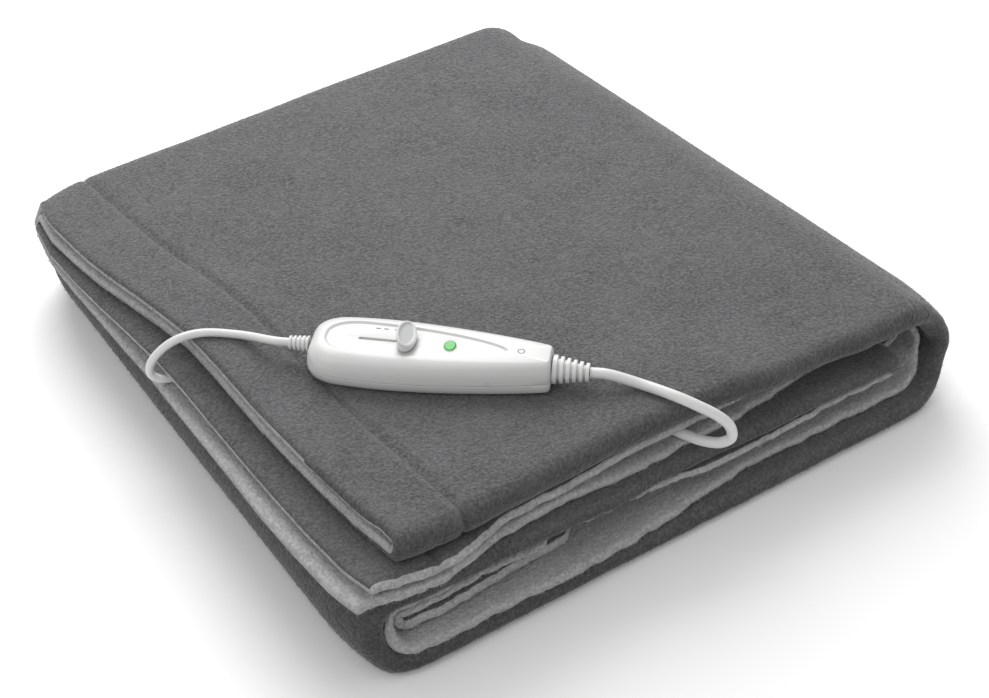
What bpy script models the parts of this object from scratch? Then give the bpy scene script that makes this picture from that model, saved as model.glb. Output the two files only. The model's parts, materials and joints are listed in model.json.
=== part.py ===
"""Electric heated blanket, folded to twelve plies, with its hand controller lying on top.

The blanket is one cloth, 1.80 m by 1.30 m. It is folded in half and in half again across its length,
which gives four plies, and the four plies are then rolled up in three strips: B inside, A below, T on top.
Metres, +Z up. The origin is on the surface the blanket rests on, under the middle of the blanket.
X runs along the roll (the hemmed end is at low X), Y runs across it (the closed edge and hems are at low Y).
"""
import math

import bmesh
import bpy
import numpy as np
from mathutils import Matrix, Vector

# ---------------------------------------------------------------- blanket: driving dimensions
PLY = 0.0062           # thickness of the cloth where it is loose
PITCH = 0.0084         # from one ply to the next
STRIP = 4 * PITCH      # height of one strip of four plies
FOLDED_X = 0.455       # length of the roll
FOLDED_Y = 0.447       # width across the roll
HALF_X, HALF_Y = FOLDED_X / 2, FOLDED_Y / 2
LOW, INNER, TOP = 0.5 * STRIP, 1.5 * STRIP, 2.5 * STRIP   # middle heights of strips A, B and T
NEAR_TURN = 0.5 * STRIP                                   # radius of the turn from A up to B
FAR_TURN = 1.0 * STRIP                                    # radius of the turn from A round B's end to T
PLY_OFFSET = {"d": -1.5 * PITCH, "a": -0.5 * PITCH, "b": 0.5 * PITCH, "c": 1.5 * PITCH}

# How far each edge stands in from the folded outline, strip by strip, along the roll.
# closed: the fold between plies b and c.  hem_a, hem_d: the two open edges beside it.
FRONT_EDGES = {
    "B": [{"x": -0.170, "closed": 0.0080, "hem_a": 0.0130, "hem_d": 0.0130},
          {"x": -0.126, "closed": 0.0084, "hem_a": 0.0175, "hem_d": 0.0166},
          {"x": -0.082, "closed": 0.0084, "hem_a": 0.0160, "hem_d": 0.0140},
          {"x": -0.055, "closed": 0.0080, "hem_a": 0.0145, "hem_d": 0.0420},
          {"x": -0.034, "closed": 0.0078, "hem_a": 0.0140, "hem_d": 0.0450},
          {"x": 0.011, "closed": 0.0125, "hem_a": 0.0145, "hem_d": 0.0450},
          {"x": 0.058, "closed": 0.0120, "hem_a": 0.0095, "hem_d": 0.0450},
          {"x": 0.107, "closed": 0.0100, "hem_a": 0.0100, "hem_d": 0.0450},
          {"x": 0.160, "closed": 0.0100, "hem_a": 0.0120, "hem_d": 0.0450}],
    "A": [{"x": -0.170, "closed": 0.001, "hem_a": 0.000, "hem_d": 0.0110},
          {"x": -0.126, "closed": 0.001, "hem_a": 0.000, "hem_d": 0.0144},
          {"x": -0.082, "closed": 0.001, "hem_a": 0.000, "hem_d": 0.0173},
          {"x": -0.055, "closed": 0.001, "hem_a": 0.001, "hem_d": 0.0420},
          {"x": 0.000, "closed": 0.001, "hem_a": 0.007, "hem_d": 0.0450},
          {"x": 0.050, "closed": 0.001, "hem_a": 0.0140, "hem_d": 0.0450},
          {"x": 0.100, "closed": 0.001, "hem_a": 0.0120, "hem_d": 0.0420},
          {"x": 0.160, "closed": 0.001, "hem_a": 0.0130, "hem_d": 0.0380}],
    "T": [{"x": -0.170, "closed": 0.0150, "hem_a": 0.005, "hem_d": 0.004},
          {"x": -0.126, "closed": 0.0180, "hem_a": 0.017, "hem_d": 0.015},
          {"x": -0.082, "closed": 0.0200, "hem_a": 0.019, "hem_d": 0.018},
          {"x": -0.034, "closed": 0.0200, "hem_a": 0.022, "hem_d": 0.019},
          {"x": 0.011, "closed": 0.0200, "hem_a": 0.023, "hem_d": 0.022},
          {"x": 0.058, "closed": 0.0150, "hem_a": 0.025, "hem_d": 0.024},
          {"x": 0.107, "closed": 0.0180, "hem_a": 0.028, "hem_d": 0.029},
          {"x": 0.138, "closed": 0.0150, "hem_a": 0.030, "hem_d": 0.035}],
}
# How far the end of each ply stands in from the outline: at the top hem, along its width, and at the
# hidden inner end.
TOP_HEM = [
    {"y": -0.215, "d": -0.004, "a": 0.006, "b": 0.030, "c": 0.032},
    {"y": -0.120, "d": -0.006, "a": 0.004, "b": 0.024, "c": 0.025},
    {"y": 0.020, "d": -0.002, "a": 0.004, "b": 0.023, "c": 0.023},
    {"y": 0.130, "d": -0.005, "a": -0.003, "b": 0.005, "c": 0.008},
    {"y": 0.200, "d": -0.004, "a": -0.004, "b": 0.000, "c": 0.004},
]
OPEN_PLY_STEPS = (0.0, 0.08, 0.18, 0.34, 0.50, 0.62, 0.80, 1.0)   # closer where a cord is tucked in
INNER_END = [{"y": 0.0, "d": 0.060, "a": 0.056, "b": 0.052, "c": 0.050}]

# The four corners of the outline: height of the stack over it as a share of twelve full pitches,
# how far it is moved in X and Y, how much further its foot is moved, and how round it is, from 0,
# square, to 1, a quarter circle.
CORNERS = {
    ("low", "low"): {"height": 1.06, "move_x": -0.0054, "move_y": 0.0008, "foot_x": 0.000, "foot_y": 0.000,
                     "round": 0.40},
    ("high", "low"): {"height": 0.84, "move_x": 0.0086, "move_y": -0.0182, "foot_x": 0.000, "foot_y": 0.000,
                      "round": 0.60},
    ("low", "high"): {"height": 0.74, "move_x": -0.0014, "move_y": 0.0158, "foot_x": 0.006, "foot_y": -0.003,
                      "round": 0.60},
    ("high", "high"): {"height": 0.76, "move_x": -0.0184, "move_y": 0.0108, "foot_x": 0.000, "foot_y": 0.000,
                       "round": 1.00},
}
CORNER_RADIUS = 0.050
# The lower strips are pressed flatter: share of the height reached at each strip's upper face.
PRESSED = {"even": (0.0, 1 / 3, 2 / 3, 5 / 6, 1.0), "real": (0.0, 0.351, 0.61, 0.78, 1.0)}
PRESSED_BOTTOM = 0.75
# Soft mounds and dips of the top: place, height and radius.
MOUNDS = [
    {"x": -0.120, "y": 0.110, "rise": 0.0025, "radius": 0.090},
    {"x": 0.080, "y": 0.080, "rise": -0.0025, "radius": 0.080},
    {"x": 0.120, "y": -0.090, "rise": 0.0020, "radius": 0.070},
    {"x": 0.040, "y": 0.170, "rise": 0.0020, "radius": 0.070},
    {"x": 0.010, "y": -0.190, "rise": -0.0020, "radius": 0.060},
]

# ---------------------------------------------------------------- controller: driving dimensions
BODY_LENGTH = 0.150
BODY_HEIGHT = 0.0215
PARTING = 0.0075       # height of the joint between the two shells
GAP = 0.0003           # between pieces that touch
# Half the width of the body, along its length from the broad end.
BODY_OUTLINE = [
    {"at": 0.000, "half": 0.0085}, {"at": 0.0012, "half": 0.0135}, {"at": 0.005, "half": 0.0190},
    {"at": 0.013, "half": 0.0235}, {"at": 0.030, "half": 0.0255}, {"at": 0.052, "half": 0.0258},
    {"at": 0.080, "half": 0.0240}, {"at": 0.108, "half": 0.0205}, {"at": 0.130, "half": 0.0168},
    {"at": 0.143, "half": 0.0140}, {"at": 0.1485, "half": 0.0122}, {"at": 0.150, "half": 0.0100},
]
BASE_RINGS = [{"inset": 0.0040, "z": 0.0}, {"inset": 0.0012, "z": 0.0016}, {"inset": 0.0002, "z": 0.0045},
              {"inset": 0.0, "z": PARTING}]
LID_RINGS = [{"inset": 0.0, "z": PARTING + GAP}, {"inset": 0.0003, "z": 0.0115},
             {"inset": 0.0015, "z": 0.0160}, {"inset": 0.0035, "z": 0.0190},
             {"inset": 0.0065, "z": 0.0208}, {"inset": 0.0095, "z": BODY_HEIGHT}]
KNOB_AT = -0.014       # along the body from its middle, at rest
KNOB_TRAVEL = 0.025    # towards the broad end
SLOT_HALF_WIDTH, SLOT_DEPTH = 0.0012, 0.0026
STEM_HALF_LENGTH, STEM_HALF_WIDTH = 0.0026, 0.0008
KNOB_RINGS = [
    {"along": STEM_HALF_LENGTH, "across": STEM_HALF_WIDTH, "z": -0.0020},
    {"along": STEM_HALF_LENGTH, "across": STEM_HALF_WIDTH, "z": 0.0004},
    {"along": 0.0062, "across": 0.0112, "z": 0.0005}, {"along": 0.0072, "across": 0.0122, "z": 0.0020},
    {"along": 0.0072, "across": 0.0122, "z": 0.0052}, {"along": 0.0062, "across": 0.0112, "z": 0.0064},
    {"along": 0.0050, "across": 0.0096, "z": 0.0056}, {"along": 0.0020, "across": 0.0040, "z": 0.0046},
]
LAMP_AT = 0.0125
LAMP_HALF = {"along": 0.0042, "across": 0.0050}
LAMP_DEPTH = 0.0020
# Strain reliefs: radii at the body's end face and at the tip, depth of the grooves between the ribs,
# and the height of the axis over the controller's underside.
SMALL_RELIEF = {"length": 0.0125, "ribs": 4, "root": 0.0052, "tip": 0.0043, "groove": 0.0010, "axis": 0.0118}
LARGE_RELIEF = {"length": 0.0225, "ribs": 5, "root": 0.0090, "tip": 0.0058, "groove": 0.0016, "axis": 0.0098}
THIN_CORD, THICK_CORD = 0.0054, 0.0068   # diameters

CONTROLLER_AT = (-0.1030, -0.0965)
CONTROLLER_TURN = math.radians(-44)
LIFT = 0.0022          # underside of the controller over the cloth's mean surface

# Routes of the cords after they leave the reliefs, in metres: hand-chosen points.
THIN_ROUTE = [(-0.1840, -0.0020, 0.0955), (-0.2020, 0.0140, 0.0945), (-0.2160, 0.0195, 0.0925),
              (-0.2265, 0.0235, 0.0855), (-0.2335, 0.0260, 0.0760), (-0.2345, 0.0260, 0.0680),
              (-0.2290, 0.0235, 0.0625), (-0.2150, 0.0200, 0.0607), (-0.1980, 0.0170, 0.0607),
              (-0.1800, 0.0145, 0.0607)]
THICK_ROUTE = [(-0.0100, -0.1860, 0.0994), (0.0004, -0.2060, 0.0992), (0.0080, -0.2170, 0.0960),
               (0.0175, -0.2262, 0.0890), (0.0240, -0.2308, 0.0800), (0.0247, -0.2322, 0.0715),
               (0.0205, -0.2280, 0.0662), (0.0140, -0.2180, 0.0636), (0.0080, -0.2050, 0.0633),
               (0.0035, -0.1920, 0.0630), (0.0000, -0.1790, 0.0627)]
# Where plies part around a tucked cord: the height of the gap, its place and how far it opens.
PARTED = [
    {"level": TOP - PITCH, "x": -0.2100, "y": 0.0200, "open": 0.0058},
    {"level": TOP - PITCH, "x": 0.0130, "y": -0.2080, "open": 0.0076},
]
PARTED_FLAT, PARTED_FADE = 0.036, 0.060   # radius of full opening, and how far past it the plies close

GREY_PLUSH = (0.075, 0.075, 0.077, 1.0)
WHITE_ABS = (0.85, 0.85, 0.85, 1.0)
WHITE_PVC = (0.80, 0.80, 0.80, 1.0)
GREEN_LENS = (0.02, 0.80, 0.04, 1.0)


def smooth(value):
    value = min(max(value, 0.0), 1.0)
    return value * value * (3 - 2 * value)


def read_row(rows, place, at):
    """A table's row at any place, between its given rows."""
    places = [row[place] for row in rows]
    return {key: float(np.interp(at, places, [row[key] for row in rows])) for key in rows[0] if key != place}


def blend_rows(rows, weights):
    """Weighted mean of table rows, column by column."""
    return {key: sum(row[key] * weight for row, weight in zip(rows, weights)) for key in rows[0]}


def material(name, colour, roughness):
    made = bpy.data.materials.new(name)
    made.use_nodes = True
    shader = made.node_tree.nodes["Principled BSDF"]
    shader.inputs["Base Color"].default_value = colour
    shader.inputs["Roughness"].default_value = roughness
    shader.inputs["Metallic"].default_value = 0.0
    made.diffuse_color = colour
    return made


# ---------------------------------------------------------------- the folded cloth
def across(edges):
    """The cloth across the roll, hem a to hem d, as (y, offset from the strip's middle)."""
    back = HALF_Y - 1.5 * PITCH - PLY / 2
    fold = -HALF_Y + edges["closed"] + 0.5 * PITCH + PLY / 2
    front = {"a": -HALF_Y + edges["hem_a"], "d": -HALF_Y + edges["hem_d"]}
    points = [(front["a"] + (back - front["a"]) * u, PLY_OFFSET["a"]) for u in OPEN_PLY_STEPS]
    points += turn((back, 0.0), 0.5 * PITCH, -90, 90, 4)[1:-1]
    points += [(y, PLY_OFFSET["b"]) for y in np.linspace(back, fold, 6)]
    points += turn((fold, PITCH), 0.5 * PITCH, 270, 90, 4)[1:-1]
    points += [(y, PLY_OFFSET["c"]) for y in np.linspace(fold, back, 6)]
    points += turn((back, 0.0), 1.5 * PITCH, 90, -90, 6)[1:-1]
    points += [(front["d"] + (back - front["d"]) * u, PLY_OFFSET["d"]) for u in OPEN_PLY_STEPS[::-1]]
    return points


def turn(centre, radius, start, end, steps):
    angles = np.radians(np.linspace(start, end, steps + 1))
    return [(centre[0] + radius * math.cos(a), centre[1] + radius * math.sin(a)) for a in angles]


def along():
    """The middle line of the roll, inner end to top hem: rows of strip weights, place and outward normal."""
    near, far = -HALF_X + NEAR_TURN + 1.5 * PITCH + PLY / 2, HALF_X - FAR_TURN - 1.5 * PITCH - PLY / 2
    middle = (LOW + TOP) / 2
    rows = [{"strip": ("B", "B", 0), "x": None, "z": INNER, "out": (0, 1), "end": 1 - u, "toward": near,
             "inset": INNER_END, "edge": far + FAR_TURN + 1.5 * PITCH} for u in np.linspace(0, 1, 8)]
    rows += [{"strip": ("B", "A", u), "x": near + NEAR_TURN * math.cos(a), "z": 2 * LOW + NEAR_TURN * math.sin(a),
              "out": (math.cos(a), math.sin(a))} for u, a in arc_steps(90, 270, 6)]
    rows += [{"strip": ("A", "A", 0), "x": x, "z": LOW, "out": (0, -1)} for x in np.linspace(near, far, 8)]
    rows += [{"strip": ("A", "T", u), "x": far + FAR_TURN * math.cos(a), "z": middle + FAR_TURN * math.sin(a),
              "out": (math.cos(a), math.sin(a))} for u, a in arc_steps(-90, 90, 8)]
    rows += [{"strip": ("T", "T", 0), "x": None, "z": TOP, "out": (0, 1), "end": u, "toward": far,
              "inset": TOP_HEM, "edge": -HALF_X} for u in np.linspace(0, 1, 9)]
    return rows


def arc_steps(start, end, steps):
    """Fractions and angles strictly between the two ends of a turn."""
    return [(k / steps, math.radians(start + (end - start) * k / steps)) for k in range(1, steps)]


def corner_mean(column, x, y):
    """Bilinear mean of a column that is given at the four corners of the outline."""
    u, v = min(max(x / FOLDED_X + 0.5, 0), 1), min(max(y / FOLDED_Y + 0.5, 0), 1)
    shares = {("low", "low"): (1 - u) * (1 - v), ("high", "low"): u * (1 - v),
              ("low", "high"): (1 - u) * v, ("high", "high"): u * v}
    return sum(CORNERS[corner][column] * share for corner, share in shares.items())


def rounded(x, y):
    """Draws the square corners of the outline towards quarter circles."""
    past_x = max(abs(x) - (HALF_X - CORNER_RADIUS), 0)
    past_y = max(abs(y) - (HALF_Y - CORNER_RADIUS), 0)
    if not (past_x and past_y):
        return x, y
    corner = ("low" if x < 0 else "high", "low" if y < 0 else "high")
    inward = CORNERS[corner]["round"] * (1 - max(past_x, past_y) / math.hypot(past_x, past_y))
    return x - math.copysign(past_x * inward, x), y - math.copysign(past_y * inward, y)


def part_plies(x, y, z):
    """Lifts what lies over a tucked cord and presses what lies under it."""
    half_gap = (PITCH - PLY) / 2
    for place in PARTED:
        past = math.hypot(x - place["x"], y - place["y"]) - PARTED_FLAT
        opened = place["open"] * (1 - smooth(past / PARTED_FADE))
        levels = [0, place["level"] - half_gap, place["level"] + half_gap, 3 * STRIP]
        z += opened * float(np.interp(z, levels, [0, -0.5, 0.5, 0.5]))
    return z


def pressed_height(x, y, z):
    """Height of a level of the even stack once it is pressed. The bottom ply is pressed evenly, so it lies flat."""
    if z < PLY:
        return PRESSED_BOTTOM * z
    full = 3 * STRIP
    levels = np.interp([z / full, PLY / full], PRESSED["even"], PRESSED["real"])
    share = float((levels[0] - levels[1]) / (1 - levels[1]))
    ground = PRESSED_BOTTOM * PLY
    return ground + share * (full * corner_mean("height", x, y) - ground)


def settle(x, y, z):
    """Where a point of the even stack really lies, and how thick the cloth is there as a share of PLY."""
    height = pressed_height(x, y, part_plies(x, y, z))
    low, high = max(z - PITCH / 8, 0), z + PITCH / 8
    share = (pressed_height(x, y, high) - pressed_height(x, y, low)) / (high - low)
    mound = sum(m["rise"] * math.exp(-((x - m["x"]) ** 2 + (y - m["y"]) ** 2) / m["radius"] ** 2) for m in MOUNDS)
    mound *= (z / (3 * STRIP)) ** 2
    new_x, new_y = rounded(x, y)
    foot = 1 - z / (3 * STRIP)
    new_x += corner_mean("move_x", x, y) + foot * corner_mean("foot_x", x, y)
    new_y += corner_mean("move_y", x, y) + foot * corner_mean("foot_y", x, y)
    return Vector((new_x, new_y, height + mound)), share


def blanket_points():
    """Rows of (settled point, thickness share) of the cloth's middle surface."""
    grid = []
    ground = (PITCH - PLY) / 2
    for row in along():
        first, second, part = row["strip"]
        place = row["x"] if row["x"] is not None else row["toward"] + (row["edge"] - row["toward"]) * row["end"]
        ends = [read_row(FRONT_EDGES[strip], "x", place) for strip in (first, second)]
        edges = blend_rows(ends, [1 - smooth(part), smooth(part)])
        line = []
        for y, offset in across(edges):
            x = row["x"]
            if x is None:
                insets = read_row(row["inset"], "y", y)
                inset = np.interp(offset, [PLY_OFFSET[k] for k in "dabc"], [insets[k] for k in "dabc"])
                end = row["edge"] + math.copysign(inset, -row["edge"])
                x = row["toward"] + (end - row["toward"]) * row["end"]
            line.append(settle(x + row["out"][0] * offset, y, row["z"] + row["out"][1] * offset - ground))
        grid.append(line)
    return grid


def make_blanket(collection):
    grid = blanket_points()
    columns, rows = len(grid[0]), len(grid)
    mesh = bpy.data.meshes.new("blanket")
    work = bmesh.new()
    bmesh.ops.create_grid(work, x_segments=columns - 1, y_segments=rows - 1, size=1)
    layer = work.verts.layers.deform.verify()
    # The grid's vertices run along X first, then along Y.
    ordered = sorted(work.verts, key=lambda v: (round(v.co.y, 5), round(v.co.x, 5)))
    settled = [place for line in grid for place in line]
    fullest = max(share for point, share in settled)
    for vertex, (point, share) in zip(ordered, settled):
        vertex.co = point
        vertex[layer][0] = share / fullest
    work.to_mesh(mesh)
    work.free()
    blanket = bpy.data.objects.new("blanket", mesh)
    collection.objects.link(blanket)
    blanket.vertex_groups.new(name="thickness")
    wall = blanket.modifiers.new("ply", "SOLIDIFY")
    wall.thickness = PLY * fullest
    wall.vertex_group = "thickness"
    wall.offset = 0
    wall.use_even_offset = True
    mesh.materials.append(material("grey plush", GREY_PLUSH, 0.95))
    mesh.shade_smooth()
    return blanket


def top_height(x, y):
    """Height of the cloth's upper face at a place on the top strip."""
    point, share = settle(x, y, TOP + PLY_OFFSET["c"] - (PITCH - PLY) / 2)
    return point.z + share * PLY / 2


# ---------------------------------------------------------------- the controller
def smooth_line(points, steps):
    """Points of a centripetal Catmull-Rom curve through the given ones."""
    points = [Vector(p) for p in points]
    padded = [2 * points[0] - points[1]] + points + [2 * points[-1] - points[-2]]
    made = []
    for p0, p1, p2, p3 in zip(padded, padded[1:], padded[2:], padded[3:]):
        t1 = max((p1 - p0).length ** 0.5, 1e-6)
        t2 = t1 + max((p2 - p1).length ** 0.5, 1e-6)
        t3 = t2 + max((p3 - p2).length ** 0.5, 1e-6)
        for k in range(steps):
            t = t1 + (t2 - t1) * k / steps
            a1 = p0 * ((t1 - t) / t1) + p1 * (t / t1)
            a2 = p1 * ((t2 - t) / (t2 - t1)) + p2 * ((t - t1) / (t2 - t1))
            a3 = p2 * ((t3 - t) / (t3 - t2)) + p3 * ((t - t2) / (t3 - t2))
            b1 = a1 * ((t2 - t) / t2) + a2 * (t / t2)
            b2 = a2 * ((t3 - t) / (t3 - t1)) + a3 * ((t - t1) / (t3 - t1))
            made.append(b1 * ((t2 - t) / (t2 - t1)) + b2 * ((t - t1) / (t2 - t1)))
    made.append(points[-1])
    return made


def body_outline():
    """The body's outline as (x, y, normal x, normal y), anticlockwise."""
    side = smooth_line([(row["at"] - BODY_LENGTH / 2, row["half"], 0) for row in BODY_OUTLINE], 2)
    upper = [(p.x, p.y) for p in side]
    points = [(x, -y) for x, y in upper] + upper[::-1]
    made = []
    for index, (x, y) in enumerate(points):
        before, after = points[index - 1], points[(index + 1) % len(points)]
        tangent = Vector((after[0] - before[0], after[1] - before[1])).normalized()
        made.append((x, y, tangent.y, -tangent.x))
    return made


def loft(name, rings, collection, finish):
    """A closed solid from rings of points that all have the same count."""
    work = bmesh.new()
    made = [[work.verts.new(point) for point in ring] for ring in rings]
    count = len(rings[0])
    for lower, upper in zip(made, made[1:]):
        for k in range(count):
            work.faces.new((lower[k], lower[(k + 1) % count], upper[(k + 1) % count], upper[k]))
    work.faces.new(made[0][::-1])
    work.faces.new(made[-1])
    mesh = bpy.data.meshes.new(name)
    work.to_mesh(mesh)
    work.free()
    mesh.shade_smooth()
    mesh.set_sharp_from_angle(angle=math.radians(40))
    mesh.materials.append(finish)
    piece = bpy.data.objects.new(name, mesh)
    collection.objects.link(piece)
    return piece


def body_rings(rows):
    """Rings of the body's outline. The narrow end stays almost upright, so it draws in less."""
    outline = body_outline()
    rings = []
    for row in rows:
        ring = []
        for x, y, nx, ny in outline:
            inset = row["inset"] * (1 - 0.85 * max(nx, 0.0))
            ring.append((x - nx * inset, y - ny * row["inset"], row["z"]))
        rings.append(ring)
    return rings


def oval(along_half, across_half, z, centre=0.0, steps=24):
    angles = [2 * math.pi * k / steps for k in range(steps)]
    return [(centre + along_half * math.cos(a), across_half * math.sin(a), z) for a in angles]


def cut(piece, cutter):
    cutter.hide_render = True
    cutter.display_type = "WIRE"
    difference = piece.modifiers.new("cut by " + cutter.name, "BOOLEAN")
    difference.operation = "DIFFERENCE"
    difference.solver = "EXACT"
    difference.object = cutter


def slot_ring(z):
    """The slot's outline: straight sides with round ends, around all of the stem's travel."""
    reach = STEM_HALF_LENGTH + 0.0008
    low, high = KNOB_AT - KNOB_TRAVEL - reach, KNOB_AT + reach
    half = SLOT_HALF_WIDTH
    right = turn((high - half, 0.0), half, -90, 90, 6)
    left = turn((low + half, 0.0), half, 90, 270, 6)
    return [(x, y, z) for x, y in right + left]


def relief_profile(spec):
    """(distance along the cord, radius) of a ribbed, tapering strain relief."""
    step = spec["length"] / (2 * spec["ribs"] + 1)
    points = []
    for k in range(2 * spec["ribs"] + 1):
        radius = spec["root"] + (spec["tip"] - spec["root"]) * k / (2 * spec["ribs"])
        radius -= spec["groove"] if k % 2 else 0.0
        points += [(k * step + 0.15 * step, radius), ((k + 1) * step - 0.15 * step, radius)]
    points[0] = (0.0, points[0][1])
    points[-1] = (spec["length"], points[-1][1])
    return points


def make_relief(name, spec, direction, collection, finish):
    """A turned relief. It starts at the body's end face and points along local X times direction."""
    start = direction * (BODY_LENGTH / 2 + GAP)
    rings = []
    for distance, radius in relief_profile(spec):
        angles = [2 * math.pi * k / 20 for k in range(20)]
        rings.append([(start + direction * distance, direction * radius * math.cos(a),
                       spec["axis"] + radius * math.sin(a)) for a in angles])
    return loft(name, rings, collection, finish)


def make_controller(collection, cutters):
    abs_white, pvc_white = material("white ABS", WHITE_ABS, 0.25), material("white PVC", WHITE_PVC, 0.4)
    base = loft("controller_base", body_rings(BASE_RINGS), collection, abs_white)
    lid = loft("controller_lid", body_rings(LID_RINGS), collection, abs_white)
    floor, above = BODY_HEIGHT - SLOT_DEPTH, BODY_HEIGHT + 0.002
    cut(lid, loft("slot_cutter", [slot_ring(floor), slot_ring(above)], cutters, abs_white))
    pocket = {key: half + GAP for key, half in LAMP_HALF.items()}
    lamp_floor = BODY_HEIGHT - LAMP_DEPTH
    cut(lid, loft("lamp_cutter", [oval(pocket["along"], pocket["across"], z, LAMP_AT)
                                  for z in (lamp_floor, above)], cutters, abs_white))
    knob = loft("slider_knob", [oval(r["along"], r["across"], r["z"]) for r in KNOB_RINGS], collection, abs_white)
    knob.location = (KNOB_AT, 0.0, BODY_HEIGHT)
    lens_rings = [oval(LAMP_HALF["along"] * s, LAMP_HALF["across"] * s, BODY_HEIGHT + z, LAMP_AT)
                  for s, z in ((1.0, GAP - LAMP_DEPTH), (1.0, 0.0), (0.85, 0.0006), (0.5, 0.0010))]
    lens = loft("lamp_lens", lens_rings, collection, material("green lens", GREEN_LENS, 0.2))
    small = make_relief("strain_relief_thin", SMALL_RELIEF, -1, collection, pvc_white)
    large = make_relief("strain_relief_thick", LARGE_RELIEF, 1, collection, pvc_white)
    holder = bpy.data.objects.new("controller_place", None)
    collection.objects.link(holder)
    holder.matrix_world = controller_matrix()
    for piece in (base, lid, knob, lens, small, large) + tuple(cutters.objects):
        piece.parent = holder
    return pvc_white


def controller_matrix():
    """Stands the controller on the cloth, tilted with it."""
    x, y = CONTROLLER_AT
    forward = Vector((math.cos(CONTROLLER_TURN), math.sin(CONTROLLER_TURN), 0))
    side = Vector((-forward.y, forward.x, 0))
    reach_x, reach_y = 0.055, 0.018
    rise_x = (top_height(x + forward.x * reach_x, y + forward.y * reach_x)
              - top_height(x - forward.x * reach_x, y - forward.y * reach_x)) / (2 * reach_x)
    rise_y = (top_height(x + side.x * reach_y, y + side.y * reach_y)
              - top_height(x - side.x * reach_y, y - side.y * reach_y)) / (2 * reach_y)
    axis_x = (forward + Vector((0, 0, rise_x))).normalized()
    axis_z = axis_x.cross((side + Vector((0, 0, rise_y)))).normalized()
    axis_y = axis_z.cross(axis_x)
    turned = Matrix((axis_x, axis_y, axis_z)).transposed().to_4x4()
    return Matrix.Translation((x, y, top_height(x, y) + LIFT)) @ turned


def make_cord(name, direction, spec, diameter, route, collection, finish):
    """A cord from its relief's end face through the hand-chosen points of its route."""
    place = controller_matrix()
    start = BODY_LENGTH / 2 + GAP + spec["length"] + GAP
    first = [place @ Vector((direction * (start + lead), 0, spec["axis"])) for lead in (0.0, 1.5 * diameter)]
    line = smooth_line(first + route, 4)
    length = sum((b - a).length for a, b in zip(line, line[1:]))
    curve = bpy.data.curves.new(name, "CURVE")
    curve.dimensions = "3D"
    curve.bevel_depth = diameter / 2
    curve.bevel_resolution = 3
    curve.use_fill_caps = True
    spline = curve.splines.new("POLY")
    spline.points.add(len(line) - 1)
    for point, place_of_point in zip(spline.points, line):
        point.co = (*place_of_point, 1.0)
    cord = bpy.data.objects.new(name, curve)
    collection.objects.link(cord)
    curve.materials.append(finish)
    print(name, "length", round(length, 4), "points", len(line), "starts", tuple(round(c, 4) for c in line[0]))
    return cord


def main():
    for thing in list(bpy.data.objects):
        bpy.data.objects.remove(thing)
    parts = bpy.data.collections.new("heated_blanket")
    cutters = bpy.data.collections.new("cutters")
    for collection in (parts, cutters):
        bpy.context.scene.collection.children.link(collection)
    make_blanket(parts)
    pvc = make_controller(parts, cutters)
    make_cord("cord_thin", -1, SMALL_RELIEF, THIN_CORD, THIN_ROUTE, parts, pvc)
    make_cord("cord_thick", 1, LARGE_RELIEF, THICK_CORD, THICK_ROUTE, parts, pvc)


main()
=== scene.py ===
# %% [markdown]
# # A folded electric blanket and its hand controller
#
# The blanket is one plush cloth, dark on one side and light on the other. It is folded to four plies
# across and rolled up in three strips, so that its cut edges and its light side show between the dark
# plies. A white hand controller lies on it, and its two leads run back in between the plies.
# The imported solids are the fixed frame: every piece made here lies where they lie.

# %% Load the frame
import json
import math

import bpy
import numpy as np
from mathutils import Matrix, Vector, noise

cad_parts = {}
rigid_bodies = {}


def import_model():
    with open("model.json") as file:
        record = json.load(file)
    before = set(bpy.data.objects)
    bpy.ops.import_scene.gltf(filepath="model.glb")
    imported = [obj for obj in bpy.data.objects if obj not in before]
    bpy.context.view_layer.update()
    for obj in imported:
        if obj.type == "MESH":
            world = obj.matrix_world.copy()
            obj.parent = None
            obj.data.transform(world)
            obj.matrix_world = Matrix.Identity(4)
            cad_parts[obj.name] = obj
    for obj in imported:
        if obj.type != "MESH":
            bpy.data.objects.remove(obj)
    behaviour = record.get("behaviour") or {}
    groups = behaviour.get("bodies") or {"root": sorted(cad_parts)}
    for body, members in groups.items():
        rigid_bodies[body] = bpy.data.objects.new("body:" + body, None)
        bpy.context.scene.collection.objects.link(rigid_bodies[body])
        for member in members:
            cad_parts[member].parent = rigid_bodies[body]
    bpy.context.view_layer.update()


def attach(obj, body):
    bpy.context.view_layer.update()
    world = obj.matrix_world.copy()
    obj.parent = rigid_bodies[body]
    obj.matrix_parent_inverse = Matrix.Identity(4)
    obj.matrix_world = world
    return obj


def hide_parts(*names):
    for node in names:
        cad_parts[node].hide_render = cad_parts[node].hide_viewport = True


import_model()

# %% [markdown]
# ## The camera
# The blanket is seen from above one corner, a little over a metre away, through a long lens. A long
# lens keeps the far corner from shrinking too much.

# %% Camera
CAMERA_AT = Vector((-0.53855, -0.77664, 0.84627))
CAMERA_AIM = Vector((-0.02933, -0.06043, 0.045))
LENS_MM = 65.5

camera = bpy.data.objects.new("camera", bpy.data.cameras.new("camera"))
bpy.context.scene.collection.objects.link(camera)
camera.location = CAMERA_AT
camera.rotation_euler = (CAMERA_AIM - CAMERA_AT).to_track_quat("-Z", "Y").to_euler()
camera.data.lens = LENS_MM
bpy.context.scene.camera = camera
print("camera", round((CAMERA_AIM - CAMERA_AT).length, 3), "m from its aim")

# %% [markdown]
# ## Colours and nodes
# Colours are written as they are seen on a screen and turned to linear light by one function.
# One more small function adds a node, with its settings and what feeds it.


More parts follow.
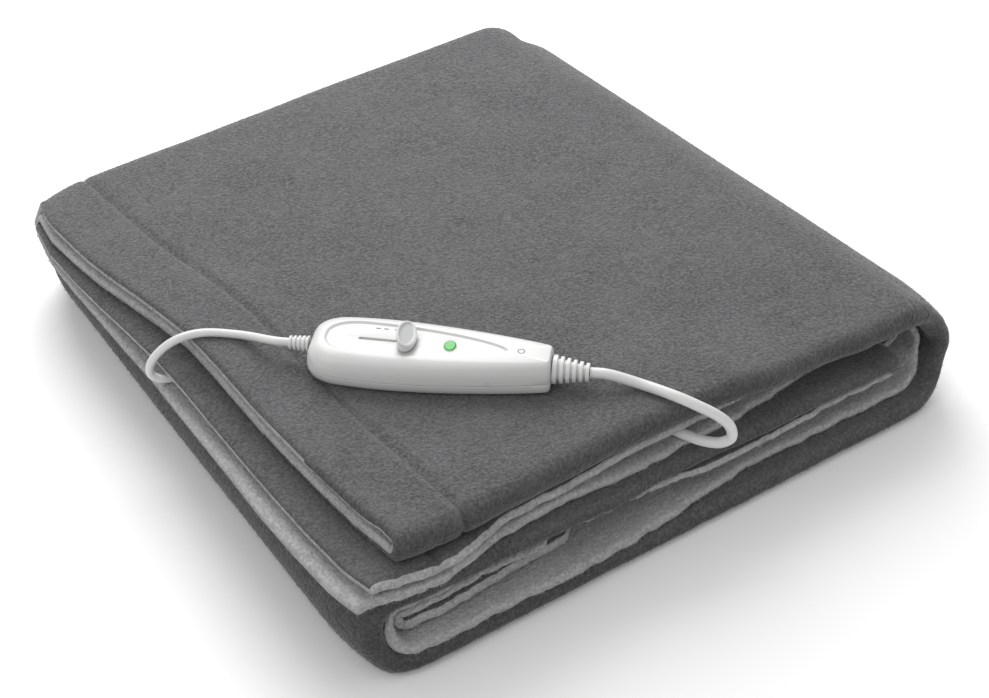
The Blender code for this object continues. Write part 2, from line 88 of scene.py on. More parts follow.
# %% Colour and node helpers
def linear(text):
    """An sRGB hex colour as linear red, green, blue and alpha."""
    values = [int(text[k:k + 2], 16) / 255 for k in (0, 2, 4)]
    return [v / 12.92 if v <= 0.04045 else ((v + 0.055) / 1.055) ** 2.4 for v in values] + [1.0]


def add_node(finish, kind, inputs=None, **settings):
    """Adds a node. inputs maps a socket's name to a value, or to the socket that feeds it."""
    node = finish.node_tree.nodes.new(kind)
    for name, value in settings.items():
        setattr(node, name, value)
    for name, value in (inputs or {}).items():
        if isinstance(value, bpy.types.NodeSocket):
            finish.node_tree.links.new(value, node.inputs[name])
        else:
            node.inputs[name].default_value = value
    return node


def new_finish(name, **shader_values):
    """A material with one Principled shader, and that shader."""
    finish = bpy.data.materials.new(name)
    finish.use_nodes = True
    shader = finish.node_tree.nodes["Principled BSDF"]
    for socket, value in shader_values.items():
        shader.inputs[socket.replace("_", " ")].default_value = value
    return finish, shader


def feed(finish, shader, **sockets):
    """Links sockets to the shader's inputs."""
    for name, socket in sockets.items():
        finish.node_tree.links.new(socket, shader.inputs[name.replace("_", " ")])


# %% [markdown]
# ## White PVC and the leads
# The leads have a jacket of soft white PVC, extruded round a twisted core, so it is smooth, with a
# satin shine. Each leaves a ribbed relief on the controller, crosses the cloth, drops over the edge
# of the top strip and runs back in between two plies. A curve with a round bevel is such a lead, and
# it can be measured along its own points.

# %% PVC jacket
pvc, pvc_shader = new_finish("extruded white PVC", Roughness=0.38, IOR=1.53, Specular_IOR_Level=0.5,
                             Subsurface_Weight=0.08, Subsurface_Radius=(0.0015, 0.0013, 0.0011),
                             Subsurface_Scale=1.0)
place_on_pvc = add_node(pvc, "ShaderNodeTexCoord").outputs["Object"]
PVC_RIPPLE_MM = 3.0   # slow ripple that the extruder leaves
pvc_ripple = add_node(pvc, "ShaderNodeTexNoise", {"Vector": place_on_pvc, "Scale": 1000 / PVC_RIPPLE_MM,
                                                  "Detail": 2.0, "Roughness": 0.5}).outputs["Fac"]
pvc_tone = add_node(pvc, "ShaderNodeMix", {"Factor": pvc_ripple, "A": linear("cbcbca"),
                                           "B": linear("d4d4d3")}, data_type="RGBA")
pvc_bump = add_node(pvc, "ShaderNodeBump", {"Height": pvc_ripple, "Strength": 0.12, "Distance": 0.0002})
feed(pvc, pvc_shader, Base_Color=pvc_tone.outputs["Result"], Normal=pvc_bump.outputs["Normal"])


# %% A smooth line through chosen points
def smooth_line(points, steps):
    """Points of a centripetal Catmull-Rom curve through the given ones."""
    points = [Vector(p) for p in points]
    padded = [2 * points[0] - points[1]] + points + [2 * points[-1] - points[-2]]
    made = []
    for p0, p1, p2, p3 in zip(padded, padded[1:], padded[2:], padded[3:]):
        t1 = max((p1 - p0).length ** 0.5, 1e-6)
        t2 = t1 + max((p2 - p1).length ** 0.5, 1e-6)
        t3 = t2 + max((p3 - p2).length ** 0.5, 1e-6)
        for k in range(steps):
            t = t1 + (t2 - t1) * k / steps
            a1 = p0 * ((t1 - t) / t1) + p1 * (t / t1)
            a2 = p1 * ((t2 - t) / (t2 - t1)) + p2 * ((t - t1) / (t2 - t1))
            a3 = p2 * ((t3 - t) / (t3 - t2)) + p3 * ((t - t2) / (t3 - t2))
            b1 = a1 * ((t2 - t) / t2) + a2 * (t / t2)
            b2 = a2 * ((t3 - t) / (t3 - t1)) + a3 * ((t - t1) / (t3 - t1))
            made.append(b1 * ((t2 - t) / (t2 - t1)) + b2 * ((t - t1) / (t2 - t1)))
    made.append(points[-1])
    return made


# %% Where the controller lies
CONTROLLER_AT = Vector((-0.1030, -0.0965, 0.09312))
CONTROLLER_FORWARD = Vector((0.71928, -0.69460, 0.01307))   # towards its narrow end
CONTROLLER_UP = Vector((0.03387, 0.05385, 0.99797))
BODY_LENGTH = 0.150
GAP = 0.0003

controller_side = CONTROLLER_UP.cross(CONTROLLER_FORWARD).normalized()
controller_place = Matrix((CONTROLLER_FORWARD, controller_side, CONTROLLER_UP)).transposed().to_4x4()
controller_place.translation = CONTROLLER_AT

# %% Leads
CORDS = [
    {"name": "lead_thin", "node": "cord_thin", "direction": -1, "relief": 0.0125, "axis": 0.0118,
     "diameter": 0.0054, "route": [
         (-0.1840, -0.0020, 0.0955), (-0.2020, 0.0140, 0.0945), (-0.2160, 0.0195, 0.0925),
         (-0.2265, 0.0235, 0.0855), (-0.2335, 0.0260, 0.0760), (-0.2345, 0.0260, 0.0680),
         (-0.2290, 0.0235, 0.0625), (-0.2150, 0.0200, 0.0607), (-0.1980, 0.0170, 0.0607),
         (-0.1800, 0.0145, 0.0607)]},
    {"name": "lead_thick", "node": "cord_thick", "direction": 1, "relief": 0.0225, "axis": 0.0098,
     "diameter": 0.0068, "route": [
         (-0.0100, -0.1860, 0.0994), (0.0004, -0.2060, 0.0992), (0.0080, -0.2170, 0.0960),
         (0.0175, -0.2262, 0.0890), (0.0240, -0.2308, 0.0800), (0.0247, -0.2322, 0.0715),
         (0.0205, -0.2280, 0.0662), (0.0140, -0.2180, 0.0636), (0.0080, -0.2050, 0.0633),
         (0.0035, -0.1920, 0.0630), (0.0000, -0.1790, 0.0627)]},
]


def make_lead(row):
    """A round lead from its relief's end face along its route."""
    start = BODY_LENGTH / 2 + GAP + row["relief"] + GAP
    leads = (0.0, 1.5 * row["diameter"])
    first = [controller_place @ Vector((row["direction"] * (start + lead), 0, row["axis"])) for lead in leads]
    line = smooth_line(first + row["route"], 10)
    curve = bpy.data.curves.new(row["name"], "CURVE")
    curve.dimensions = "3D"
    curve.bevel_depth = row["diameter"] / 2
    curve.bevel_resolution = 6
    curve.use_fill_caps = True
    spline = curve.splines.new("POLY")
    spline.points.add(len(line) - 1)
    for point, place in zip(spline.points, line):
        point.co = (*place, 1.0)
    spline.use_smooth = True
    lead = bpy.data.objects.new(row["name"], curve)
    bpy.context.scene.collection.objects.link(lead)
    curve.materials.append(pvc)
    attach(lead, "folded_blanket")
    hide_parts(row["node"])
    return lead


leads = [make_lead(row) for row in CORDS]

# %% [markdown]
# ## The hand controller
# Two shells of white ABS, moulded, meet on a parting line a third of the way up. Each shell starts as
# a circle whose points are drawn to the body's outline, then it is extruded upwards and scaled in,
# step by step, about a point near the narrow end, so that this end stays upright. The slot and the
# lamp's pocket are cut by Booleans, and small bevels soften what is left.

# %% Moulded finishes
abs_white, abs_shader = new_finish("moulded white ABS", Roughness=0.28, IOR=1.54, Specular_IOR_Level=0.4,
                                   Subsurface_Weight=0.05, Subsurface_Scale=1.0,
                                   Subsurface_Radius=(0.0012, 0.0011, 0.0010))
place_on_abs = add_node(abs_white, "ShaderNodeTexCoord").outputs["Object"]
FLOW_MM, GRAIN_MM = 22.0, 0.35   # slow waviness of a moulded wall, and the fine grain of the tool
flow = add_node(abs_white, "ShaderNodeTexNoise", {"Vector": place_on_abs, "Scale": 1000 / FLOW_MM,
                                                  "Detail": 1.0}).outputs["Fac"]
grain = add_node(abs_white, "ShaderNodeTexNoise", {"Vector": place_on_abs, "Scale": 1000 / GRAIN_MM,
                                                   "Detail": 2.0}).outputs["Fac"]
abs_tone = add_node(abs_white, "ShaderNodeMix", {"Factor": flow, "A": linear("c4c4c3"),
                                                 "B": linear("c9c9c8")}, data_type="RGBA").outputs["Result"]
abs_rough = add_node(abs_white, "ShaderNodeMapRange", {"Value": flow, "To Min": 0.27,
                                                       "To Max": 0.30}).outputs[0]
abs_bump = add_node(abs_white, "ShaderNodeBump", {"Height": grain, "Strength": 0.10, "Distance": 0.00005})
feed(abs_white, abs_shader, Base_Color=abs_tone, Roughness=abs_rough, Normal=abs_bump.outputs["Normal"])

# Grey on the knob's dish and rim is painted shade in the dish.
dish_shade_grey, _ = new_finish("grey for painted shade in the knob's dish", Base_Color=linear("b4b5b6"), Roughness=0.45,
                            IOR=1.5)
grey_ink, _ = new_finish("pad-printed grey ink", Base_Color=linear("6d6f71"), Roughness=0.5, IOR=1.5)
green_lens, _ = new_finish("moulded green acrylic, lit", Base_Color=linear("087f16"), Roughness=0.18,
                           IOR=1.49, Emission_Color=linear("08e024"), Emission_Strength=0.22)
print("finishes", [m.name for m in (abs_white, dish_shade_grey, grey_ink, green_lens)])


# %% Small modelling steps
def start_circle(name, count, radius=1.0):
    bpy.ops.object.select_all(action="DESELECT")
    bpy.ops.mesh.primitive_circle_add(vertices=count, radius=radius, fill_type="NGON", location=(0, 0, 0))
    piece = bpy.context.object
    piece.name = piece.data.name = name
    return piece


def raise_steps(rows, pull):
    """Extrudes the selected outline through rows of height and scale, about the pulling point."""
    for before, row in zip(rows, rows[1:]):
        bpy.ops.mesh.extrude_region_move(TRANSFORM_OT_translate={"value": (0, 0, row["z"] - before["z"])})
        bpy.ops.transform.resize(value=(row["x"] / before["x"], row["y"] / before["y"], 1),
                                 center_override=(pull, 0, row["z"]))


def close_up(piece, angle):
    """Turns every face outwards and leaves edit mode with smooth shading up to the angle."""
    bpy.ops.mesh.select_all(action="SELECT")
    bpy.ops.mesh.normals_make_consistent(inside=False)
    bpy.ops.object.mode_set(mode="OBJECT")
    bpy.ops.object.shade_smooth_by_angle(angle=math.radians(angle))


def bevel_piece(piece, width, segments=2, angle=40):
    bevel = piece.modifiers.new("bevel", "BEVEL")
    bevel.width, bevel.segments = width, segments
    bevel.limit_method, bevel.angle_limit = "ANGLE", math.radians(angle)
    bpy.context.view_layer.objects.active = piece
    bpy.ops.object.modifier_apply(modifier="bevel")


def carve(piece, cutter):
    difference = piece.modifiers.new("cut", "BOOLEAN")
    difference.operation, difference.solver, difference.object = "DIFFERENCE", "EXACT", cutter
    bpy.context.view_layer.objects.active = piece
    bpy.ops.object.modifier_apply(modifier="cut")
    bpy.data.objects.remove(cutter)


def mount(piece, body, nodes, slot, *finishes):
    """Moves a finished piece's mesh onto the controller's place and gives it its finish and its links."""
    if not piece.data.materials:
        for finish in finishes:
            piece.data.materials.append(finish)
    piece.data.transform(controller_place @ piece.matrix_world)
    piece.matrix_world = Matrix()
    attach(piece, body)
    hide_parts(*nodes)


# %% The two shells
BODY_HALF_WIDTHS = [
    {"at": 0.000, "half": 0.0085}, {"at": 0.0012, "half": 0.0135}, {"at": 0.005, "half": 0.0190},
    {"at": 0.013, "half": 0.0235}, {"at": 0.030, "half": 0.0255}, {"at": 0.052, "half": 0.0258},
    {"at": 0.080, "half": 0.0240}, {"at": 0.108, "half": 0.0205}, {"at": 0.130, "half": 0.0168},
    {"at": 0.143, "half": 0.0140}, {"at": 0.1485, "half": 0.0122}, {"at": 0.150, "half": 0.0100},
]
PARTING, BODY_HEIGHT = 0.0075, 0.0215
PULL = 0.055   # the shells draw in towards this place, 20 mm from the narrow end
BASE_PROFILE = [{"z": 0.0, "inset": 0.0040}, {"z": 0.0006, "inset": 0.0022}, {"z": 0.0016, "inset": 0.0012},
                {"z": 0.0045, "inset": 0.0002}, {"z": PARTING - 0.0003, "inset": 0.0000},
                {"z": PARTING, "inset": 0.0003}]
LID_PROFILE = [{"z": PARTING + GAP, "inset": 0.0003}, {"z": PARTING + 0.0006, "inset": 0.0},
               {"z": 0.0115, "inset": 0.0003}, {"z": 0.0140, "inset": 0.0008}, {"z": 0.0160, "inset": 0.0015},
               {"z": 0.0177, "inset": 0.0025}, {"z": 0.0190, "inset": 0.0036}, {"z": 0.0200, "inset": 0.0050},
               {"z": 0.0207, "inset": 0.0066}, {"z": 0.0211, "inset": 0.0080},
               {"z": BODY_HEIGHT, "inset": 0.0096}]
# The shallow panel in the lid: a teardrop, round at the broad end and drawn to a blunt tip.
PANEL = {"start": -0.0650, "end": 0.0480, "half_width": 0.0155, "depth": 0.0011, "border": 0.0016}
PANEL_STEPS = [{"z": BODY_HEIGHT - 0.00002, "inset": 0.0100},
               {"z": BODY_HEIGHT - PANEL["depth"], "inset": 0.0104}]

SLOT = {"start": -0.0430, "end": -0.0108, "half_width": 0.0012}
LAMP = {"at": 0.0125, "along": 0.0035, "across": 0.0049, "depth": 0.0024}


def scaled(profile):
    """Rows of inset turned into scales about the pulling point."""
    reach, width = BODY_LENGTH / 2 + PULL, 0.0258
    return [{"z": row["z"], "x": 1 - row["inset"] / reach, "y": 1 - row["inset"] / width} for row in profile]


def shell(name, profile):
    side = smooth_line([(row["at"] - BODY_LENGTH / 2, row["half"], 0) for row in BODY_HALF_WIDTHS], 6)
    outline = [(p.x, -p.y) for p in side] + [(p.x, p.y) for p in reversed(side)]
    rows = scaled(profile)
    piece = start_circle(name, len(outline))
    for vertex, (x, y) in zip(piece.data.vertices, outline):
        vertex.co = (PULL + (x - PULL) * rows[0]["x"], y * rows[0]["y"], rows[0]["z"])
    bpy.ops.object.mode_set(mode="EDIT")
    bpy.ops.mesh.select_all(action="SELECT")
    raise_steps(rows, PULL)
    close_up(piece, 32)
    return piece


def draw_panel(piece):
    """Draws the last two rings of the lid to the panel's teardrop, the lower one inside the upper."""
    length = PANEL["end"] - PANEL["start"]
    for step, z in enumerate(row["z"] for row in PANEL_STEPS):
        border = step * PANEL["border"]
        ring = [v for v in piece.data.vertices if abs(v.co.z - z) < 1e-6]
        first, last = min(v.co.x for v in ring), max(v.co.x for v in ring)
        for vertex in ring:
            u = (vertex.co.x - first) / (last - first)
            broad = (1 - (1 - min(u / 0.22, 1)) ** 2.4) ** (1 / 2.4)
            tip = (1 - max(u - 0.22, 0) ** 1.7 / 0.78 ** 1.7) ** 0.6
            vertex.co.x = PANEL["start"] + border + u * (length - 2.2 * border)
            vertex.co.y = math.copysign(broad * tip * (PANEL["half_width"] - border), vertex.co.y)


def slot_cutter():
    """The slider's slot: a bar with round ends."""
    bar = start_circle("slot_cutter", 32, SLOT["half_width"])
    for vertex in bar.data.vertices:
        end = SLOT["end"] if vertex.co.x > 0 else SLOT["start"]
        vertex.co = (vertex.co.x + end, vertex.co.y, BODY_HEIGHT - 0.0030)
    bpy.ops.object.mode_set(mode="EDIT")
    bpy.ops.mesh.select_all(action="SELECT")
    bpy.ops.mesh.extrude_region_move(TRANSFORM_OT_translate={"value": (0, 0, 0.006)})
    close_up(bar, 30)
    return bar


def round_bar(name, along, across_, low, high, at, steps=40):
    """An upright oval bar, made of one cylinder."""
    bpy.ops.object.select_all(action="DESELECT")
    bpy.ops.mesh.primitive_cylinder_add(vertices=steps, radius=1, depth=high - low, location=(0, 0, 0))
    bar = bpy.context.object
    bar.name = bar.data.name = name
    bpy.ops.object.mode_set(mode="EDIT")
    bpy.ops.mesh.select_all(action="SELECT")
    bpy.ops.transform.resize(value=(along, across_, 1), center_override=(0, 0, 0))
    bpy.ops.transform.translate(value=(at, 0, (low + high) / 2))
    close_up(bar, 30)
    return bar


body_lower = shell("controller_lower", BASE_PROFILE)
body_upper = shell("controller_upper", LID_PROFILE + PANEL_STEPS)
draw_panel(body_upper)
carve(body_upper, slot_cutter())
carve(body_upper, round_bar("lamp_cutter", LAMP["along"] + GAP, LAMP["across"] + GAP,
                            BODY_HEIGHT - LAMP["depth"], BODY_HEIGHT + 0.002, LAMP["at"]))
bevel_piece(body_upper, 0.0002)
for piece in (body_upper, body_lower):
    bpy.context.view_layer.objects.active = piece
    piece.select_set(True)
    bpy.ops.object.shade_smooth_by_angle(angle=math.radians(32))
mount(body_lower, "folded_blanket", ["controller_base"], "white_abs", abs_white)
mount(body_upper, "folded_blanket", ["controller_lid"], "white_abs", abs_white)
print("shells", len(body_upper.data.polygons), len(body_lower.data.polygons), "faces")

# %% The slider's knob
KNOB = {"at": -0.014, "along": 0.0060, "across": 0.0120, "low": 0.0004, "high": 0.0068, "lean": 26.0}
knob = round_bar("slider_button", KNOB["along"], KNOB["across"], BODY_HEIGHT + KNOB["low"],
                 BODY_HEIGHT + KNOB["high"], KNOB["at"], 56)
bevel_piece(knob, 0.0009, 4)
knob.data.materials.append(abs_white)
knob.data.materials.append(dish_shade_grey)
bpy.ops.object.mode_set(mode="EDIT")
bpy.ops.mesh.select_all(action="DESELECT")
bpy.ops.object.mode_set(mode="OBJECT")
top_face = max(knob.data.polygons, key=lambda face: face.center.z * 10 + face.area)
top_face.select = True
bpy.ops.object.mode_set(mode="EDIT")
bpy.ops.mesh.inset(thickness=0.0005, depth=0.0)
bpy.ops.mesh.inset(thickness=0.0004, depth=-0.0006)
bpy.ops.mesh.inset(thickness=0.0007, depth=-0.0004)
# The dish and its rim take the grey: painted shade in the dish.
bpy.ops.mesh.select_more()
knob.active_material_index = 1
bpy.ops.object.material_slot_assign()
# The dish and the rim lean towards the narrow end.
bpy.ops.mesh.select_all(action="SELECT")
bpy.ops.object.mode_set(mode="OBJECT")
lean = math.tan(math.radians(KNOB["lean"]))
for vertex in knob.data.vertices:
    above = max(vertex.co.z - BODY_HEIGHT - 0.0022, 0) / 0.0042
    vertex.co.z -= above * lean * (vertex.co.x - KNOB["at"] + 0.0015)
bpy.ops.object.shade_smooth_by_angle(angle=math.radians(35))
mount(knob, "slider", ["slider_knob"], "white_abs")
print("knob", len(knob.data.polygons), "faces")

# %% The lamp
lens = round_bar("lamp_window", LAMP["along"], LAMP["across"], BODY_HEIGHT - 0.0023, BODY_HEIGHT - 0.0003,
                 LAMP["at"], 48)
bevel_piece(lens, 0.0006, 3)
bpy.ops.object.shade_smooth_by_angle(angle=math.radians(50))
mount(lens, "folded_blanket", ["lamp_lens"], "green_lens", green_lens)

bpy.ops.object.select_all(action="DESELECT")
bpy.ops.mesh.primitive_torus_add(major_segments=56, minor_segments=10, major_radius=0.0052,
                                 minor_radius=0.00045, location=(0, 0, 0))
ring = bpy.context.object
ring.name = ring.data.name = "lamp_ring"
bpy.ops.object.mode_set(mode="EDIT")
bpy.ops.mesh.select_all(action="SELECT")
bpy.ops.transform.resize(value=(0.76, 1.0, 0.8), center_override=(0, 0, 0))
bpy.ops.transform.translate(value=(LAMP["at"], 0, BODY_HEIGHT - PANEL["depth"]))
close_up(ring, 60)
mount(ring, "folded_blanket", ["controller_lid"], "white_abs", abs_white)

# %% Printed marks beside the slot
MARKS = [{"x": -0.0338}, {"x": -0.0288}, {"x": -0.0222}, {"x": -0.0176}]
MARK_LENGTH = 0.0030
mark_pieces = []
for row in MARKS:
    bpy.ops.mesh.primitive_cube_add(size=1, location=(0, 0, 0))
    mark = bpy.context.object
    bpy.ops.object.mode_set(mode="EDIT")
    bpy.ops.mesh.select_all(action="SELECT")
    bpy.ops.transform.resize(value=(MARK_LENGTH, 0.0008, 0.00030), center_override=(0, 0, 0))
    bpy.ops.transform.translate(value=(row["x"], 0.0108, BODY_HEIGHT - PANEL["depth"]))
    bpy.ops.object.mode_set(mode="OBJECT")
    mark_pieces.append(mark)
bpy.ops.mesh.primitive_torus_add(major_segments=32, minor_segments=6, major_radius=0.0020,
                                 minor_radius=0.00034, location=(0, 0, 0))
mark_ring = bpy.context.object
bpy.ops.object.mode_set(mode="EDIT")
bpy.ops.mesh.select_all(action="SELECT")
bpy.ops.transform.resize(value=(1, 1, 0.5), center_override=(0, 0, 0))
bpy.ops.transform.translate(value=(0.0560, 0, BODY_HEIGHT - 0.00002))
bpy.ops.object.mode_set(mode="OBJECT")
mark_pieces.append(mark_ring)
bpy.ops.object.select_all(action="DESELECT")
for piece in mark_pieces:
    piece.select_set(True)
bpy.context.view_layer.objects.active = mark_pieces[0]
bpy.ops.object.join()
marks = bpy.context.object
marks.name = marks.data.name = "printed_marks"
mount(marks, "folded_blanket", ["controller_lid"], "white_abs", grey_ink)

# %% [markdown]
# ## Strain reliefs
# Each lead leaves the body through a soft white sleeve whose ribs let it bend evenly. A sleeve is a
# circle extruded along its axis through one table row for each change of radius.

# %% Ribbed reliefs
RELIEFS = [
    {"name": "relief_small", "node": "strain_relief_thin", "side": -1, "length": 0.0125, "ribs": 4,
     "root": 0.0052, "tip": 0.0043, "groove": 0.0010, "axis": 0.0118, "collar": 0.0012},
    {"name": "relief_large", "node": "strain_relief_thick", "side": 1, "length": 0.0225, "ribs": 5,
     "root": 0.0090, "tip": 0.0058, "groove": 0.0016, "axis": 0.0098, "collar": 0.0030},
]


def relief_rows(row):
    """Heights and radii along the sleeve: a collar, then ribs with grooves between them."""
    pitch = (row["length"] - row["collar"]) / row["ribs"]
    rows = [(0.0, row["root"] - 0.0003), (0.0003, row["root"]), (row["collar"] - 0.0002, row["root"])]
    for k in range(row["ribs"]):
        start = row["collar"] + k * pitch
        rib = row["root"] + (row["tip"] - row["root"]) * (k + 1) / row["ribs"]
        core = rib - row["groove"]
        rows += [(start, core), (start + 0.36 * pitch, core), (start + 0.42 * pitch, rib - 0.0002),
                 (start + 0.50 * pitch, rib), (start + 0.88 * pitch, rib),
                 (start + 0.97 * pitch, rib - 0.0002)]
    return [{"z": z, "x": radius, "y": radius} for z, radius in rows]


for row in RELIEFS:
    sleeve = start_circle(row["name"], 48, row["root"] - 0.0003)
    bpy.ops.object.mode_set(mode="EDIT")
    bpy.ops.mesh.select_all(action="SELECT")
    raise_steps(relief_rows(row), 0.0)
    bpy.ops.mesh.select_all(action="SELECT")
    bpy.ops.transform.rotate(value=math.radians(-90 * row["side"]), orient_axis="Y",
                             center_override=(0, 0, 0))
    bpy.ops.transform.translate(value=(row["side"] * (BODY_LENGTH / 2 + GAP), 0, row["axis"]))
    close_up(sleeve, 35)
    print(row["name"], round(max(abs(v.co.x) for v in sleeve.data.vertices), 4), "m from the middle")
    mount(sleeve, "folded_blanket", [row["node"]], "white_pvc", pvc)

# %% [markdown]
# ## How the blanket is folded
# The cloth measures 1.80 m by 1.30 m. Its 1.80 m side is folded in half and in half again, which
# gives four plies, d, a, b and c. The folded band is then rolled: strip B lies inside, strip A under it
# and strip T on top. Each table row says how far an edge of one strip stands back from the outline,
# because cloth that is folded by hand never ends flush.

# %% Sizes of the folded blanket
PLY = 0.0062           # thickness of the cloth where it is loose
DARK_HALF, LIGHT_HALF = 0.0040, 0.0031   # from the middle of the cloth to the tips of its pile
PITCH = 0.0084         # from one ply to the next
STRIP = 4 * PITCH      # height of one strip of four plies
FOLDED_X = 0.455
FOLDED_Y = 0.447
HALF_X, HALF_Y = FOLDED_X / 2, FOLDED_Y / 2
LOW, INNER, TOP = 0.5 * STRIP, 1.5 * STRIP, 2.5 * STRIP
NEAR_TURN, FAR_TURN = 0.5 * STRIP, 1.0 * STRIP
PLY_OFFSET = {"d": -1.5 * PITCH, "a": -0.5 * PITCH, "b": 0.5 * PITCH, "c": 1.5 * PITCH}

# closed: the fold between plies b and c.  hem_a, hem_d: the two open edges beside it.
FRONT_EDGES = {
    "B": [{"x": -0.170, "closed": 0.0080, "hem_a": 0.0130, "hem_d": 0.0130},
          {"x": -0.126, "closed": 0.0084, "hem_a": 0.0175, "hem_d": 0.0166},
          {"x": -0.082, "closed": 0.0084, "hem_a": 0.0160, "hem_d": 0.0140},
          {"x": -0.055, "closed": 0.0080, "hem_a": 0.0145, "hem_d": 0.0420},
          {"x": -0.034, "closed": 0.0078, "hem_a": 0.0140, "hem_d": 0.0450},
          {"x": 0.011, "closed": 0.0125, "hem_a": 0.0145, "hem_d": 0.0450},
          {"x": 0.058, "closed": 0.0120, "hem_a": 0.0095, "hem_d": 0.0450},
          {"x": 0.107, "closed": 0.0100, "hem_a": 0.0100, "hem_d": 0.0450},
          {"x": 0.160, "closed": 0.0100, "hem_a": 0.0120, "hem_d": 0.0450}],
    "A": [{"x": -0.170, "closed": 0.001, "hem_a": 0.000, "hem_d": 0.0110},
          {"x": -0.126, "closed": 0.001, "hem_a": 0.000, "hem_d": 0.0144},
          {"x": -0.082, "closed": 0.001, "hem_a": 0.000, "hem_d": 0.0173},
          {"x": -0.055, "closed": 0.001, "hem_a": 0.001, "hem_d": 0.0420},
          {"x": 0.000, "closed": 0.001, "hem_a": 0.007, "hem_d": 0.0450},
          {"x": 0.050, "closed": 0.001, "hem_a": 0.0140, "hem_d": 0.0450},
          {"x": 0.100, "closed": 0.001, "hem_a": 0.0120, "hem_d": 0.0420},
          {"x": 0.160, "closed": 0.001, "hem_a": 0.0130, "hem_d": 0.0380}],
    "T": [{"x": -0.170, "closed": 0.0150, "hem_a": 0.005, "hem_d": 0.004},
          {"x": -0.126, "closed": 0.0180, "hem_a": 0.017, "hem_d": 0.015},
          {"x": -0.082, "closed": 0.0200, "hem_a": 0.019, "hem_d": 0.018},
          {"x": -0.034, "closed": 0.0200, "hem_a": 0.022, "hem_d": 0.019},
          {"x": 0.011, "closed": 0.0200, "hem_a": 0.023, "hem_d": 0.022},
          {"x": 0.058, "closed": 0.0150, "hem_a": 0.025, "hem_d": 0.024},
          {"x": 0.107, "closed": 0.0180, "hem_a": 0.028, "hem_d": 0.029},
          {"x": 0.138, "closed": 0.0150, "hem_a": 0.030, "hem_d": 0.035}],
}
# How far each ply of the top strip stops short of the outline, along the hem.
TOP_HEM = [
    {"y": -0.215, "d": -0.004, "a": 0.006, "b": 0.030, "c": 0.032},
    {"y": -0.120, "d": -0.006, "a": 0.004, "b": 0.024, "c": 0.025},
    {"y": 0.020, "d": -0.002, "a": 0.004, "b": 0.023, "c": 0.023},
    {"y": 0.130, "d": -0.005, "a": -0.003, "b": 0.005, "c": 0.008},
    {"y": 0.200, "d": -0.004, "a": -0.004, "b": 0.000, "c": 0.004},
]
RAGGED = 0.0016
RIM_CELLS = 3
FOLD_COLUMNS = (36, 58)   # columns of the grid round the closed fold, where no backing shows
WRINKLE = {"height": 0.0015, "length": 0.048, "width": 0.085}
SEAM = {"from_edge": 0.047, "depth": 0.0024, "half_width": 0.0022}   # the stitched line along the top hem
INNER_END = {"d": 0.060, "a": 0.056, "b": 0.052, "c": 0.050}

CORNERS = {
    ("low", "low"): {"height": 1.06, "move_x": -0.0054, "move_y": 0.0008, "foot_x": 0.000, "foot_y": 0.000,
                     "round": 0.40},
    ("high", "low"): {"height": 0.84, "move_x": 0.0086, "move_y": -0.0182, "foot_x": 0.000, "foot_y": 0.000,
                      "round": 0.60},
    ("low", "high"): {"height": 0.74, "move_x": -0.0014, "move_y": 0.0158, "foot_x": 0.006, "foot_y": -0.003,
                      "round": 0.60},
    ("high", "high"): {"height": 0.76, "move_x": -0.0184, "move_y": 0.0108, "foot_x": 0.000, "foot_y": 0.000,
                       "round": 1.00},
}
CORNER_RADIUS = 0.050
PRESSED = {"even": (0.0, 1 / 3, 2 / 3, 5 / 6, 1.0), "real": (0.0, 0.351, 0.61, 0.78, 1.0)}
PRESSED_BOTTOM = 0.75
MOUNDS = [
    {"x": -0.120, "y": 0.110, "rise": 0.0025, "radius": 0.090},
    {"x": 0.080, "y": 0.080, "rise": -0.0025, "radius": 0.080},
    {"x": 0.120, "y": -0.090, "rise": 0.0020, "radius": 0.070},
    {"x": 0.040, "y": 0.170, "rise": 0.0020, "radius": 0.070},
    {"x": 0.010, "y": -0.190, "rise": -0.0020, "radius": 0.060},
]
PARTED = [
    {"level": TOP - PITCH, "x": -0.2100, "y": 0.0200, "open": 0.0058},
    {"level": TOP - PITCH, "x": 0.0130, "y": -0.2080, "open": 0.0076},
]
PARTED_FLAT, PARTED_FADE = 0.036, 0.060
print("folded to", FOLDED_X, "by", FOLDED_Y, "m, twelve plies")


# %% From the even stack to the real one
def smooth(value):
    value = np.clip(value, 0.0, 1.0)
    return value * value * (3 - 2 * value)


def read_rows(rows, column, at, key):
    """A column of a table at any place, with the rows sorted by their place."""
    rows = sorted(rows, key=lambda row: row[column])
    return np.interp(at, [row[column] for row in rows], [row[key] for row in rows])


def corner_mean(column, x, y):
    """Bilinear mean of a column that is given at the four corners of the outline."""
    u, v = np.clip(x / FOLDED_X + 0.5, 0, 1), np.clip(y / FOLDED_Y + 0.5, 0, 1)
    shares = {("low", "low"): (1 - u) * (1 - v), ("high", "low"): u * (1 - v),
              ("low", "high"): (1 - u) * v, ("high", "high"): u * v}
    return sum(CORNERS[corner][column] * share for corner, share in shares.items())


def rounded(x, y):
    """Draws the square corners of the outline towards quarter circles."""
    past_x = np.maximum(np.abs(x) - (HALF_X - CORNER_RADIUS), 0)
    past_y = np.maximum(np.abs(y) - (HALF_Y - CORNER_RADIUS), 0)
    reach = np.maximum(np.hypot(past_x, past_y), 1e-9)
    amount = np.zeros_like(x)
    for (side_x, side_y), row in CORNERS.items():
        here = ((x < 0) == (side_x == "low")) & ((y < 0) == (side_y == "low"))
        amount = np.where(here, row["round"], amount)
    inward = amount * (1 - np.maximum(past_x, past_y) / reach) * ((past_x > 0) & (past_y > 0))
    return x - np.copysign(past_x * inward, x), y - np.copysign(past_y * inward, y)


